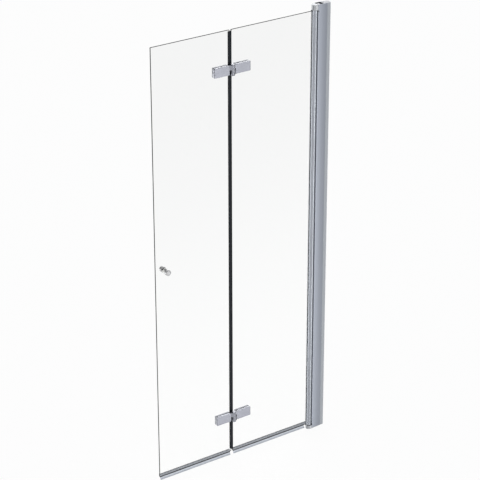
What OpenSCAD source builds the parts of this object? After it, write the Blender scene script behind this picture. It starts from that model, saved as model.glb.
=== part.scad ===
// Bifold shower door: two frameless glass panes that fold on a pair of knuckle hinges.
// The inner pane turns in a round pivot profile, held between two end blocks, and a
// telescoping adjust profile slides over the wall channel to take up a wall out of true.
//
// Origin: on the wall face, level with the middle of the glass, at the foot of the channel.
// The door runs towards -X, its front faces -Y, and +Z is up. Millimetres.

/* [Wall frame] */
// Height of the wall frame, end to end
door_h = 2000; // [1700:10:2200]
// Depth of the adjust profile at its crown, front to back
adjust_d = 31; // [30:0.5:34]
// Width of the adjust profile, from its lips to its wall side edge
adjust_w = 48.5; // [44:0.5:52]
// Distance from the lips to the crown of its bow
adjust_crown = 12; // [8:0.5:20]
// Radius of its bowed front and back
adjust_bow_r = 240; // [220:10:400]
// Wall thickness of the adjust profile
adjust_wall = 1.6; // [1.4:0.1:2]
// Strip of wall channel left in view beside the adjust profile
channel_show = 17; // [10:1:22]
// Width of the wall channel, most of it inside the adjust profile
channel_w = 34; // [30:1:36]
// Depth of the wall channel, front to back
channel_d = 22; // [18:0.5:22.5]
// Thickness of the channel's flanges
channel_wall = 1.5; // [1.2:0.1:2]
// Thickness of the channel's web against the wall
channel_web = 2; // [1.5:0.1:3]
// Room left for the channel to slide further into the adjust profile
slide_room = 3; // [1:0.5:6]
// Sliding clearance between the wall channel and the adjust profile
slide_gap = 0.3; // [0.2:0.1:0.5]
// Radius of the wall screw holes
wall_hole_r = 2.75; // [2:0.25:3.5]
// Distance of the outer wall screw holes from the ends of the frame
wall_hole_inset = 100; // [60:10:250]
// Distance between the two inner wall screw holes
wall_hole_inner = 600; // [300:10:900]
// Height of the cap's plug inside the channel
cap_plug_h = 8; // [4:1:15]
// Distance of the plug from the channel's open side
cap_plug_inset = 1; // [0.5:0.5:3]

/* [Pivot] */
// Radius of the round pivot profile
pivot_r = 12; // [11.5:0.1:12.5]
// Thickness of its outer wall
pivot_wall = 1.8; // [1.4:0.1:2]
// Thickness of the ribs and boss inside it
pivot_rib = 1.4; // [1:0.1:1.6]
// Distance from the pivot axis to the lips of the adjust profile
lip_offset = 6.5; // [6.5:0.1:7.5]
// Clearance between the pivot profile and its round seat
seat_gap = 0.4; // [0.3:0.1:0.8]
// Radius of the end blocks' round ears
ear_r = 15; // [14:0.1:15]
// Height of the bottom ear
bottom_ear_h = 16; // [15:1:20]
// Height of the top ear
top_ear_h = 22.5; // [16:0.5:26]
// Thickness of the bottom block's foot plate
foot_t = 4; // [2:0.5:6]
// How far the top block sits below the profile's rim
top_recess = 3; // [1:0.5:5]
// Length of each block's tongue inside the adjust profile
tongue_l = 30; // [20:1:45]
// Reach of the tongue behind the lips of the adjust profile
tongue_reach = 18.5; // [14:0.5:20]
// Reach of the neck that joins a block's ear to its tongue
neck_l = 9; // [8:0.5:10]
// Depth of the lips left in front of and behind the neck
lip_depth = 1.2; // [1:0.1:2]
// Clearance between the blocks and the adjust profile
block_gap = 0.2; // [0.1:0.1:0.4]
// Radius of the pivot pins
pin_r = 3.5; // [3:0.1:3.6]
// Length of a pivot pin inside the pivot profile
pin_hold = 40; // [25:1:60]
// Length of a pivot pin inside its bush, flange included
pin_run = 11; // [8:0.5:12]
// Running clearance of the pivot pins
pin_gap = 0.05; // [0.03:0.01:0.08]
// Outer radius of the nylon bushes
bush_r = 6.5; // [5:0.1:7]
// Length of a bush inside its block
bush_l = 12; // [11:0.5:13]
// Radius of the bush flange
bush_flange_r = 9; // [8:0.5:11]
// Thickness of the bush flange
bush_flange_t = 1; // [0.8:0.1:2]
// Play between the pivot profile and the top bush
top_play = 0.5; // [0.3:0.1:1]
// Radius of the pin lock screws
lock_r = 2.5; // [2:0.1:2.6]
// Distance of a lock screw from the end of the pivot profile
lock_inset = 5; // [4.5:0.5:8]
// How far a lock screw sits below the pivot profile's face
lock_recess = 0.6; // [0.3:0.1:1]
// Direction of the lock screws, measured from +X
lock_angle = -65; // [-68:1:-60]
// Radius of the access notch in the adjust profile's lip
notch_r = 3.4; // [3:0.1:3.8]

/* [Glass] */
// Thickness of both panes
glass_t = 6; // [6:0.5:7]
// Gap under the glass
glass_foot = 26; // [25:1:32]
// Gap between the top of the glass and the top of the frame
glass_head = 26; // [25:1:32]
// Width of the inner pane, with the strip that the pivot profile hides
inner_glass_w = 411.5; // [380:0.5:480]
// Width of the outer pane
outer_glass_w = 371.5; // [340:0.5:400]
// Gap between the two panes
pane_gap = 9; // [8.5:0.5:10]
// Distance from the pivot axis to the hidden edge of the inner pane
glass_stop = 5; // [5:0.1:6]
// Depth left free behind that edge in the slot
slot_play = 0.3; // [0.2:0.1:0.5]
// Thickness of a glazing gasket
gasket_t = 1.8; // [1.4:0.1:2]
// Reach of the glass grip's jaws beyond the round profile
jaw_reach = 4.5; // [3:0.5:5]
// Thickness of the jaws
jaw_t = 1.2; // [1:0.1:1.3]
// Reach of the gasket lip beyond the jaws
gasket_reach = 2.2; // [1:0.1:2.5]
// Spread of the gasket lip beyond the slot
gasket_spread = 0.6; // [0.3:0.1:0.9]

/* [Hinges] */
// Distance of the upper hinge from the top edge of the glass
hinge_top_inset = 167; // [120:1:300]
// Distance of the lower hinge from the bottom edge of the glass
hinge_bottom_inset = 177; // [120:1:300]
// Height of the hinge plates
plate_h = 42; // [36:1:60]
// Width of a hinge plate
plate_w = 74; // [70:1:90]
// Distance from the fold axis to a hinge plate
plate_start = 14.5; // [14:0.5:16]
// Thickness of a front plate
front_plate_t = 8; // [7:0.5:9]
// Thickness of a back plate
back_plate_t = 6; // [5:0.5:8]
// Corner radius of the plates
plate_corner_r = 5; // [3:0.5:8]
// Radius of the rolled outer end of a front plate
plate_roll_r = 3; // [2:0.5:6]
// Radius of the rolled outer end of a back plate
back_roll_r = 3; // [2:0.5:4]
// Thickness of the pads between plates and glass
pad_t = 1; // [0.8:0.1:1.5]
// Inset of the pads from the plates' edges
pad_inset = 1.5; // [1:0.1:3]
// Distance of the fold axis in front of the middle of the glass
fold_out = 13; // [13:0.1:14]
// Distance of the fold axis from the middle of the gap, towards the wall
fold_shift = 4.5; // [3:0.5:5]
// Radius of the hinge knuckles
knuckle_r = 8.5; // [7.5:0.1:8.5]
// How far a knuckle stands above or below the plates
knuckle_rise = 3; // [1:0.5:5]
// Reach of the knuckle's arm along the front plate
arm_root = 2; // [1:0.5:3]
// Distance of the arm from the plate's edge
arm_inset = 0.5; // [0.2:0.1:2]
// How deep the arm's faces start inside the barrel
arm_sink = 0.1; // [0.05:0.05:0.3]
// Thickness of the nylon washer between the knuckles
hinge_washer_t = 1; // [0.6:0.1:2]
// How far the washer's rim sits inside the barrel's face
hinge_washer_inset = 0.5; // [0.2:0.1:1]
// Radius of the hinge pin
hinge_pin_r = 3; // [2.5:0.1:4]
// Running clearance of the hinge pin
hinge_pin_gap = 0.05; // [0.03:0.01:0.08]
// How far the pin's ends sit inside the knuckles
hinge_pin_sink = 0.5; // [0.3:0.1:2]
// Distance from the fold axis to the nearer hinge screw
screw_near = 33; // [32:1:36]
// Distance between the two screws of a leaf
screw_pitch = 38; // [30:1:40]
// Radius of the hinge screws
screw_r = 2.5; // [2:0.1:3]
// Radius of their countersunk heads
screw_head_r = 4.8; // [4:0.1:5.5]
// Depth of the countersunk heads
screw_head_h = 2.6; // [2:0.1:3]
// Depth of the screws in the front plate
screw_bite = 5.5; // [4:0.5:6]
// Radius of the holes in the glass for hinges and knob
glass_hole_r = 7; // [6.5:0.1:8]
// Clearance of the collars in those holes
collar_gap = 0.2; // [0.1:0.1:0.4]

/* [Seals] */
// Height of the drip seals' clip on the glass
clip_h = 12; // [8:0.5:16]
// Thickness of the drip seals' clip
clip_t = 1.2; // [0.8:0.1:1.6]
// Thickness of the drip seals' web under the glass
clip_web = 1.5; // [1:0.1:2]
// Radius of the curved drip fin
fin_r = 14; // [10:0.5:15]
// Arc of the drip fin in degrees
fin_arc = 60; // [40:1:70]
// Thickness of the drip fin
fin_t = 1.2; // [0.8:0.1:1.6]
// Distance from the pivot axis to the end of the inner drip seal's clip
clip_stop = 19.2; // [19:0.1:22]
// How much shorter its fin is
fin_stop = 10; // [3:0.5:12]
// Reach of the seam seal's legs on the outer pane
seam_leg = 6.5; // [5:0.5:7]
// Thickness of the seam seal's legs
seam_t = 0.8; // [0.6:0.1:0.9]
// Clearance between the seam seal and the inner pane
seam_gap = 0.5; // [0.4:0.1:1]
// Distance of the seam seal from the top and bottom edges of the glass
seam_inset = 6; // [2:0.5:10]

/* [Knob] */
// Distance of the knob from the free edge of the outer pane
knob_inset = 48; // [35:1:90]
// Height of the knob above the foot of the frame
knob_z = 998; // [850:1:1150]
// Radius of the knob's heads
knob_r = 12.25; // [10:0.25:14]
// Length of a head
knob_l = 15.5; // [10:0.5:15.5]
// Radius of the neck
knob_neck_r = 6.5; // [5:0.1:8]
// Length of the neck
knob_neck_l = 9.5; // [6:0.5:9.5]
// Rounding of the head's edges
knob_round = 1.5; // [0.5:0.1:3]
// Radius of the washers against the glass
knob_washer_r = 10; // [9:0.5:12]
// Thickness of the washers
knob_washer_t = 1; // [0.6:0.1:1.2]
// Radius of the stud that joins the two halves
stud_r = 3; // [2:0.1:3.5]
// Depth of the stud in each half
stud_bite = 20; // [12:0.5:22]

/* [Screws] */
// Radius of the pan head screws at the back of the adjust profile
pan_r = 2; // [1.5:0.1:2.4]
// Radius of their heads
pan_head_r = 3.8; // [3.2:0.1:4]
// Height of their heads
pan_head_h = 2; // [1.5:0.1:2.5]
// Length of their shanks
pan_l = 6; // [4:0.5:7]
// Distance of the adjust screws from the adjust profile's wall side edge
adjust_screw_edge = 8; // [7:0.5:12]
// Distance of the outer adjust screws from the ends of the frame
adjust_screw_inset = 300; // [150:10:500]
// Depth of the flat spot under an adjust screw's head
spot_depth = 0.5; // [0.4:0.1:0.6]
// Height of the block screws from the ends of the frame
block_screw_inset = 15; // [12:0.5:18]
// Size of the hexagon sockets, across corners
hex_across = 3; // [2:0.1:3.2]
// Depth of the hexagon sockets
hex_depth = 1.5; // [1:0.1:2]

/* [Hidden] */
$fn = 64;
// Small overshoot that lets a cut pass right through a face
eps = 0.5;
half_t = glass_t / 2;
half_d = adjust_d / 2;
adjust_x = -channel_show - adjust_w;
pivot_x = adjust_x - lip_offset;
crown_x = adjust_x + adjust_crown;
slot_half = channel_d / 2 + slide_gap;
slot_left = -max(channel_w, channel_show) - slide_room;
web_left = slot_left - adjust_wall;
seat_r = pivot_r + seat_gap;
pivot_foot = bottom_ear_h + bush_flange_t;
pivot_top = door_h - top_ear_h - bush_flange_t - top_play;
glass_top = door_h - glass_head;
glass_h = glass_top - glass_foot;
inner_right = pivot_x - glass_stop;
inner_left = inner_right - inner_glass_w;
outer_right = inner_left - pane_gap;
outer_left = outer_right - outer_glass_w;
fold_x = inner_left - pane_gap / 2 + fold_shift;
upper_z = glass_top - hinge_top_inset;
lower_z = glass_foot + hinge_bottom_inset;
knob_x = outer_left + knob_inset;
pad_y = half_t + pad_t;
knuckle_top = plate_h / 2 + knuckle_rise;
knob_y = half_t + knob_washer_t;
neck_half = half_d - adjust_wall - lip_depth;
adjust_screw_x = -channel_show - adjust_screw_edge;
bow_drop = adjust_bow_r - sqrt(pow(adjust_bow_r, 2) - pow(adjust_screw_x - crown_x, 2));
spot_y = half_d - bow_drop - spot_depth;
adjust_screw_z = [adjust_screw_inset, door_h / 2, door_h - adjust_screw_inset];
block_screw_z = [block_screw_inset, door_h - block_screw_inset];
lock_z = [pivot_foot + lock_inset, pivot_top - lock_inset];
wall_hole_z = [
    wall_hole_inset, (door_h - wall_hole_inner) / 2,
    (door_h + wall_hole_inner) / 2, door_h - wall_hole_inset
];
slot_wall_y = half_t + gasket_t;
slot_bottom = glass_stop - slot_play;
jaw_end = pivot_r + jaw_reach;
clip_end = pivot_x - clip_stop;

// ---------- shared shapes ----------

// A rod along Y from y1 to y2, centred on x and z
module rod_y(x, z, y1, y2, r) {
    translate([x, y1, z])
        rotate([-90, 0, 0])
            cylinder(r = r, h = y2 - y1);
}

// A rod along X from x1 to x2, level with the middle of the glass
module rod_x(x1, x2, z, r) {
    translate([x1, 0, z])
        rotate([0, 90, 0])
            cylinder(r = r, h = x2 - x1);
}

// A rod in the lock screws' direction, from r1 to r2 about the pivot axis
module lock_rod(z, r1, r2, r, sides = $fn) {
    translate([pivot_x, 0, z])
        rotate([0, 90, lock_angle])
            translate([0, 0, r1])
                cylinder(r = r, h = r2 - r1, $fn = sides);
}

// A flat rectangle between two corners
module box2(x1, x2, y1, y2) {
    translate([x1, y1])
        square([x2 - x1, y2 - y1]);
}

// A flat rectangle with round corners, between two corners
module round_box2(x1, x2, y1, y2, r) {
    box2(x1 + r, x2 - r, y1, y2);
    box2(x1, x2, y1 + r, y2 - r);
    for (x = [x1 + r, x2 - r], y = [y1 + r, y2 - r])
        translate([x, y])
            circle(r = r);
}

// A plan shape raised from z1 to z2
module raise(z1, z2) {
    translate([0, 0, z1])
        linear_extrude(z2 - z1)
            children();
}

// A shape drawn in X and Z, laid from the plane y1 back to the plane y2
module lay(y1, y2) {
    translate([0, y2, 0])
        rotate([90, 0, 0])
            linear_extrude(y2 - y1)
                children();
}

// A shape drawn in Y and Z, run along X from x1 to x2
module run(x1, x2) {
    translate([x1, 0, 0])
        rotate([90, 0, 90])
            linear_extrude(x2 - x1)
                children();
}

// ---------- wall frame ----------

// The plan between two x values, trimmed by both bowed faces
module between_bows(x1, x2, inset) {
    intersection() {
        box2(x1, x2, -half_d, half_d);
        translate([crown_x, adjust_bow_r - half_d])
            circle(r = adjust_bow_r - inset, $fn = 360);
        translate([crown_x, half_d - adjust_bow_r])
            circle(r = adjust_bow_r - inset, $fn = 360);
    }
}

// The slot that the wall channel slides into
module channel_slot() {
    box2(slot_left, eps, -slot_half, slot_half);
}

// The hollow between the round seat and the cross web
module chamber(inset) {
    difference() {
        between_bows(adjust_x + adjust_wall + inset, web_left - inset, adjust_wall + inset);
        translate([pivot_x, 0])
            circle(r = seat_r + adjust_wall + inset);
    }
}

module adjust_section() {
    difference() {
        between_bows(adjust_x, -channel_show, 0);
        translate([pivot_x, 0])
            circle(r = seat_r);
        chamber(0);
        channel_slot();
    }
}

// The neck that joins a block's ear to its tongue, past the cut back seat
module neck(inset) {
    box2(adjust_x - eps, adjust_x + neck_l - inset, inset - neck_half, neck_half - inset);
}

// The plan of an ear: round about the pivot axis and square where it meets the profile
module ear() {
    intersection() {
        translate([pivot_x, 0])
            circle(r = ear_r);
        box2(pivot_x - ear_r, pivot_x, -ear_r, ear_r);
    }
    box2(pivot_x, adjust_x - block_gap, -ear_r, ear_r);
}

// A flat spot for the head of an adjust screw at the back of the adjust profile
module spot_face(z) {
    rod_y(adjust_screw_x, z, spot_y, half_d + eps, pan_head_r + slide_gap);
}
module adjust_profile() color([0.62, 0.64, 0.68]) {
    difference() {
        raise(foot_t, door_h)
            adjust_section();
        raise(foot_t - eps, pivot_foot)
            neck(0);
        raise(pivot_top, door_h + eps)
            neck(0);
        for (z = lock_z)
            lock_rod(z, 0, 2 * pivot_r, notch_r);
        for (z = adjust_screw_z) {
            spot_face(z);
            rod_y(adjust_screw_x, z, 0, half_d, pan_r);
        }
        for (z = block_screw_z)
            rod_y(crown_x, z, half_d - adjust_wall - eps, half_d + eps, pan_r);
    }
}

module wall_channel() color([0.66, 0.68, 0.71]) {
    difference() {
        raise(0, door_h - top_recess)
            difference() {
                box2(-channel_w, 0, -channel_d / 2, channel_d / 2);
                box2(-channel_w - eps, -channel_web,
                    channel_wall - channel_d / 2, channel_d / 2 - channel_wall);
            }
        for (z = wall_hole_z)
            rod_x(-channel_web - eps, eps, z, wall_hole_r);
        for (z = adjust_screw_z)
            rod_y(adjust_screw_x, z, 0, channel_d, pan_r);
    }
}

// The cap covers the channel's top and plugs into it
module channel_top_cap() color([0.60, 0.62, 0.65]) {
    raise(door_h - top_recess, door_h)
        box2(-channel_w, 0, -channel_d / 2, channel_d / 2);
    raise(door_h - top_recess - cap_plug_h, door_h - top_recess)
        box2(-channel_w + cap_plug_inset, -channel_web - block_gap,
            channel_wall + block_gap - channel_d / 2, channel_d / 2 - channel_wall - block_gap);
}

module pan_screw(x, z, y) {
    rod_y(x, z, y - pan_l, y, pan_r);
    difference() {
        rod_y(x, z, y, y + pan_head_h, pan_head_r);
        lay(y + pan_head_h - hex_depth, y + pan_head_h + eps)
            translate([x, z])
                circle(r = hex_across / 2, $fn = 6);
    }
}

module adjust_screws() color([0.75, 0.76, 0.78]) {
    for (z = adjust_screw_z)
        pan_screw(adjust_screw_x, z, spot_y);
}

module block_screws() color([0.75, 0.76, 0.78]) {
    for (z = block_screw_z)
        pan_screw(crown_x, z, half_d);
}

// The part of a block inside the adjust profile
module tongue() {
    intersection() {
        chamber(block_gap);
        box2(adjust_x, adjust_x + tongue_reach, -half_d, half_d);
    }
}

module top_pivot_block() color([0.72, 0.73, 0.75]) {
    difference() {
        union() {
            raise(door_h - top_ear_h, door_h)
                ear();
            raise(door_h - top_ear_h, door_h - top_recess)
                neck(block_gap);
            raise(door_h - tongue_l, door_h - top_recess)
                tongue();
        }
        translate([pivot_x, 0, door_h - top_ear_h - eps])
            cylinder(r = bush_r, h = bush_l + eps);
        rod_y(crown_x, door_h - block_screw_inset, half_d - pan_l - eps, half_d, pan_r);
    }
}

module bottom_pivot_block() color([0.72, 0.73, 0.75]) {
    difference() {
        union() {
            raise(0, bottom_ear_h)
                ear();
            raise(0, foot_t) {
                difference() {
                    between_bows(adjust_x - block_gap - eps, -channel_show, 0);
                    channel_slot();
                }
            }
            raise(foot_t, bottom_ear_h)
                neck(block_gap);
            raise(foot_t, tongue_l)
                tongue();
        }
        translate([pivot_x, 0, bottom_ear_h - bush_l])
            cylinder(r = bush_r, h = bush_l + eps);
        rod_y(crown_x, block_screw_inset, half_d - pan_l - eps, half_d, pan_r);
    }
}

// A flanged bush standing on its flange's plane, sleeve down
module flanged_bush() {
    difference() {
        union() {
            translate([0, 0, -bush_l])
                cylinder(r = bush_r, h = bush_l);
            cylinder(r = bush_flange_r, h = bush_flange_t);
        }
        translate([0, 0, -bush_l - eps])
            cylinder(r = pin_r + pin_gap, h = bush_l + bush_flange_t + 2 * eps);
    }
}

module top_pivot_bush() color([0.90, 0.90, 0.88]) {
    translate([pivot_x, 0, door_h - top_ear_h])
        mirror([0, 0, 1])
            flanged_bush();
}

module bottom_pivot_bush() color([0.90, 0.90, 0.88]) {
    translate([pivot_x, 0, bottom_ear_h])
        flanged_bush();
}

// ---------- inner leaf ----------

// The round profile with the two jaws that grip the glass, hollow around the pin's boss
module pivot_section() {
    difference() {
        union() {
            circle(r = pivot_r);
            box2(-jaw_end, -pivot_r / 2, -slot_wall_y - jaw_t, slot_wall_y + jaw_t);
        }
        difference() {
            circle(r = pivot_r - pivot_wall);
            box2(-pivot_r, pivot_rib - slot_bottom, -slot_wall_y - pivot_rib, slot_wall_y + pivot_rib);
            circle(r = pin_r + pivot_rib);
            box2(0, pivot_r, -pivot_rib / 2, pivot_rib / 2);
        }
        circle(r = pin_r);
        box2(-jaw_end - eps, -slot_bottom, -slot_wall_y, slot_wall_y);
    }
}

module pivot_profile() color([0.70, 0.72, 0.75]) {
    difference() {
        translate([pivot_x, 0, 0])
            raise(pivot_foot, pivot_top)
                pivot_section();
        for (z = lock_z)
            lock_rod(z, pin_r - eps, pivot_r + eps, lock_r);
    }
}

module pin_lock_screws() color([0.10, 0.10, 0.12]) {
    end_r = pivot_r - lock_recess;
    for (z = lock_z)
        difference() {
            lock_rod(z, pin_r, end_r, lock_r);
            lock_rod(z, end_r - hex_depth, end_r + eps, hex_across / 2, 6);
        }
}

module top_pivot_pin() color([0.78, 0.79, 0.80]) {
    translate([pivot_x, 0, pivot_top - pin_hold])
        cylinder(r = pin_r, h = pin_hold + top_play + pin_run);
}

module bottom_pivot_pin() color([0.78, 0.79, 0.80]) {
    translate([pivot_x, 0, pivot_foot - pin_run])
        cylinder(r = pin_r, h = pin_run + pin_hold);
}

// A gasket on the back of the glass, in the slot and out over the jaw's end
module gasket_section() {
    box2(-jaw_end - gasket_reach, -glass_stop, half_t, slot_wall_y);
    box2(-jaw_end - gasket_reach, -jaw_end, half_t, slot_wall_y + gasket_spread);
}

module back_glazing_gasket() color([0.16, 0.17, 0.19]) {
    translate([pivot_x, 0, 0])
        raise(pivot_foot, glass_top)
            gasket_section();
}

module front_glazing_gasket() color([0.16, 0.17, 0.19]) {
    mirror([0, 1, 0])
        translate([pivot_x, 0, 0])
            raise(pivot_foot, glass_top)
                gasket_section();
}

// Holes for one hinge leaf, on the side that the sign gives
module hinge_glass_holes(z, side) {
    for (i = [0, 1])
        rod_y(fold_x + side * (screw_near + i * screw_pitch), z,
            -half_t - eps, half_t + eps, glass_hole_r);
}

module inner_glass() color([0.86, 0.92, 0.91, 0.35]) {
    difference() {
        raise(glass_foot, glass_top)
            box2(inner_left, inner_right, -half_t, half_t);
        hinge_glass_holes(upper_z, 1);
        hinge_glass_holes(lower_z, 1);
    }
}

// ---------- hinges ----------

// The plan of a plate, from its near end to its outer end, with the far corner rolled off
module plate_plan(y_near, t, roll) {
    end_x = plate_start + plate_w;
    box2(plate_start, end_x - roll, y_near, y_near + t);
    box2(end_x - roll - eps, end_x, y_near, y_near + t - roll);
    translate([end_x - roll, y_near + t - roll])
        circle(r = roll);
}

// The face of a plate, with round corners
module plate_face() {
    round_box2(plate_start, plate_start + plate_w, -plate_h / 2, plate_h / 2, plate_corner_r);
}

// Where a line from a point of the plan runs onto the barrel, in front (-1) or behind (1)
function onto_barrel(from, side) =
    let (
        r = knuckle_r - arm_sink,
        away = [from.x, from.y + fold_out],
        a = atan2(away.y, away.x) + side * acos(r / norm(away))
    )
    [r * cos(a), r * sin(a) - fold_out];

// The arm that carries a knuckle, in plan, from the plate to the barrel
module arm_plan() {
    near = [plate_start, -pad_y];
    far = [plate_start + arm_root, -pad_y - front_plate_t];
    polygon([
        near,
        [far.x, near.y],
        far,
        onto_barrel(far, -1),
        [0, -fold_out],
        onto_barrel(near, 1)
    ]);
}

// Both screw holes of a leaf, or rods of the same places
module leaf_rods(y1, y2, r) {
    for (i = [0, 1])
        rod_y(screw_near + i * screw_pitch, 0, y1, y2, r);
}

// A front plate with its knuckle, drawn on the +X side of the fold axis
module front_leaf(bore_r) {
    difference() {
        union() {
            intersection() {
                mirror([0, 1, 0])
                    raise(-plate_h / 2, plate_h / 2)
                        plate_plan(pad_y, front_plate_t, plate_roll_r);
                lay(-pad_y - front_plate_t, -pad_y)
                    plate_face();
            }
            raise(arm_inset - plate_h / 2, -hinge_washer_t / 2)
                arm_plan();
            translate([0, -fold_out, -knuckle_top])
                cylinder(r = knuckle_r, h = knuckle_top - hinge_washer_t / 2);
        }
        translate([0, -fold_out, -knuckle_top - eps])
            cylinder(r = bore_r, h = knuckle_top + 2 * eps);
        leaf_rods(-pad_y - screw_bite, 0, screw_r);
    }
}

module back_plate() {
    difference() {
        intersection() {
            raise(-plate_h / 2, plate_h / 2)
                plate_plan(pad_y, back_plate_t, back_roll_r);
            lay(pad_y, pad_y + back_plate_t)
                plate_face();
        }
        leaf_rods(pad_y - eps, pad_y + back_plate_t + eps, screw_r);
        leaf_heads();
    }
}

// The countersunk heads of a leaf's screws
module leaf_heads() {
    for (i = [0, 1])
        translate([screw_near + i * screw_pitch, pad_y + back_plate_t, 0])
            rotate([90, 0, 0])
                cylinder(r1 = screw_head_r, r2 = screw_r, h = screw_head_h);
}

module leaf_screws() {
    difference() {
        union() {
            leaf_rods(-pad_y - screw_bite, pad_y + back_plate_t - screw_head_h, screw_r);
            leaf_heads();
        }
        lay(pad_y + back_plate_t - hex_depth, pad_y + back_plate_t + eps)
            for (i = [0, 1])
                translate([screw_near + i * screw_pitch, 0])
                    circle(r = hex_across / 2, $fn = 6);
    }
}

// The front pad has collars that line the holes in the glass, the back pad is flat
module leaf_pads() {
    difference() {
        union() {
            for (y = [-pad_y, half_t])
                lay(y, y + pad_t)
                    round_box2(plate_start + pad_inset, plate_start + plate_w - pad_inset,
                        pad_inset - plate_h / 2, plate_h / 2 - pad_inset,
                        plate_corner_r - pad_inset);
            leaf_rods(-half_t - pad_t / 2, half_t - collar_gap, glass_hole_r - collar_gap);
        }
        leaf_rods(-pad_y - eps, pad_y + eps, screw_r + collar_gap);
    }
}

// Places a leaf's piece: the inner leaf has the lower knuckle, the outer the upper one
module at_inner(z) {
    translate([fold_x, 0, z])
        children();
}

module at_outer(z) {
    translate([fold_x, 0, z])
        mirror([1, 0, 0])
            mirror([0, 0, 1])
                children();
}

module hinge_pin(z) {
    length = 2 * (knuckle_top - hinge_pin_sink);
    translate([fold_x, -fold_out, z - length / 2])
        cylinder(r = hinge_pin_r, h = length);
}

module hinge_washer(z) {
    translate([fold_x, -fold_out, z - hinge_washer_t / 2])
        difference() {
            cylinder(r = knuckle_r - hinge_washer_inset, h = hinge_washer_t);
            translate([0, 0, -eps])
                cylinder(r = hinge_pin_r + hinge_pin_gap, h = hinge_washer_t + 2 * eps);
        }
}

module upper_inner_hinge_leaf() color([0.68, 0.69, 0.73]) {
    at_inner(upper_z)
        front_leaf(hinge_pin_r);
}

module lower_inner_hinge_leaf() color([0.68, 0.69, 0.73]) {
    at_inner(lower_z)
        front_leaf(hinge_pin_r);
}

module upper_outer_hinge_leaf() color([0.69, 0.70, 0.75]) {
    at_outer(upper_z)
        front_leaf(hinge_pin_r + hinge_pin_gap);
}

module lower_outer_hinge_leaf() color([0.69, 0.70, 0.75]) {
    at_outer(lower_z)
        front_leaf(hinge_pin_r + hinge_pin_gap);
}

module upper_inner_back_plate() color([0.66, 0.67, 0.70]) {
    at_inner(upper_z)
        back_plate();
}

module lower_inner_back_plate() color([0.66, 0.67, 0.70]) {
    at_inner(lower_z)
        back_plate();
}

module upper_outer_back_plate() color([0.66, 0.67, 0.70]) {
    at_outer(upper_z)
        back_plate();
}

module lower_outer_back_plate() color([0.66, 0.67, 0.70]) {
    at_outer(lower_z)
        back_plate();
}

module upper_inner_hinge_pads() color([0.55, 0.56, 0.58]) {
    at_inner(upper_z)
        leaf_pads();
}

module lower_inner_hinge_pads() color([0.55, 0.56, 0.58]) {
    at_inner(lower_z)
        leaf_pads();
}

module upper_outer_hinge_pads() color([0.55, 0.56, 0.58]) {
    at_outer(upper_z)
        leaf_pads();
}

module lower_outer_hinge_pads() color([0.55, 0.56, 0.58]) {
    at_outer(lower_z)
        leaf_pads();
}

module upper_inner_hinge_screws() color([0.78, 0.79, 0.81]) {
    at_inner(upper_z)
        leaf_screws();
}

module lower_inner_hinge_screws() color([0.78, 0.79, 0.81]) {
    at_inner(lower_z)
        leaf_screws();
}

module upper_outer_hinge_screws() color([0.78, 0.79, 0.81]) {
    at_outer(upper_z)
        leaf_screws();
}

module lower_outer_hinge_screws() color([0.78, 0.79, 0.81]) {
    at_outer(lower_z)
        leaf_screws();
}

module upper_hinge_pin() color([0.76, 0.77, 0.79]) {
    hinge_pin(upper_z);
}

module lower_hinge_pin() color([0.76, 0.77, 0.79]) {
    hinge_pin(lower_z);
}

module upper_hinge_washer() color([0.85, 0.85, 0.83]) {
    hinge_washer(upper_z);
}

module lower_hinge_washer() color([0.85, 0.85, 0.83]) {
    hinge_washer(lower_z);
}

// ---------- outer leaf ----------

module outer_glass() color([0.86, 0.92, 0.91, 0.35]) {
    difference() {
        raise(glass_foot, glass_top)
            box2(outer_left, outer_right, -half_t, half_t);
        hinge_glass_holes(upper_z, -1);
        hinge_glass_holes(lower_z, -1);
        rod_y(knob_x, knob_z, -half_t - eps, half_t + eps, glass_hole_r);
    }
}

// The seam seal grips the outer pane and closes the gap with a hollow round bulb
module seam_section() {
    reach = pane_gap - seam_gap;
    bulb_r = half_t + seam_t;
    bulb_x = outer_right + reach - bulb_r;
    for (side = [-1, 1])
        box2(outer_right - seam_leg, outer_right + seam_t,
            min(side * half_t, side * bulb_r), max(side * half_t, side * bulb_r));
    difference() {
        union() {
            box2(outer_right, bulb_x, -bulb_r, bulb_r);
            translate([bulb_x, 0])
                circle(r = bulb_r);
        }
        box2(outer_right - bulb_r, outer_right, -bulb_r, bulb_r);
        difference() {
            translate([bulb_x, 0])
                circle(r = bulb_r - seam_t);
            box2(outer_right, outer_right + seam_t, -bulb_r, bulb_r);
        }
    }
}

module seam_seal() color([0.12, 0.13, 0.15]) {
    raise(glass_foot + seam_inset, glass_top - seam_inset)
        seam_section();
}

// The clip of a drip seal, drawn in Y and Z
module clip_section() {
    difference() {
        box2(-half_t - clip_t, half_t + clip_t, glass_foot - clip_web, glass_foot + clip_h);
        box2(-half_t, half_t, glass_foot, glass_foot + clip_h + eps);
    }
}

// The fin curls down and out to the front from the clip's web
module fin_section() {
    centre_y = -half_t - fin_r + fin_t;
    intersection() {
        translate([centre_y, glass_foot - clip_web])
            difference() {
                circle(r = fin_r + fin_t / 2);
                circle(r = fin_r - fin_t / 2);
            }
        translate([centre_y, glass_foot - clip_web])
            polygon([
                [0, 0],
                [2 * fin_r, 0],
                [2 * fin_r, -2 * fin_r * tan(fin_arc / 2)],
                [2 * fin_r * cos(fin_arc), -2 * fin_r * sin(fin_arc)]
            ]);
    }
}

module inner_drip_seal() color([0.66, 0.68, 0.70]) {
    run(inner_left, clip_end)
        clip_section();
    run(inner_left, clip_end - fin_stop)
        fin_section();
}

module outer_drip_seal() color([0.66, 0.68, 0.70]) {
    run(outer_left, outer_right - seam_leg - seam_gap) {
        clip_section();
        fin_section();
    }
}

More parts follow.
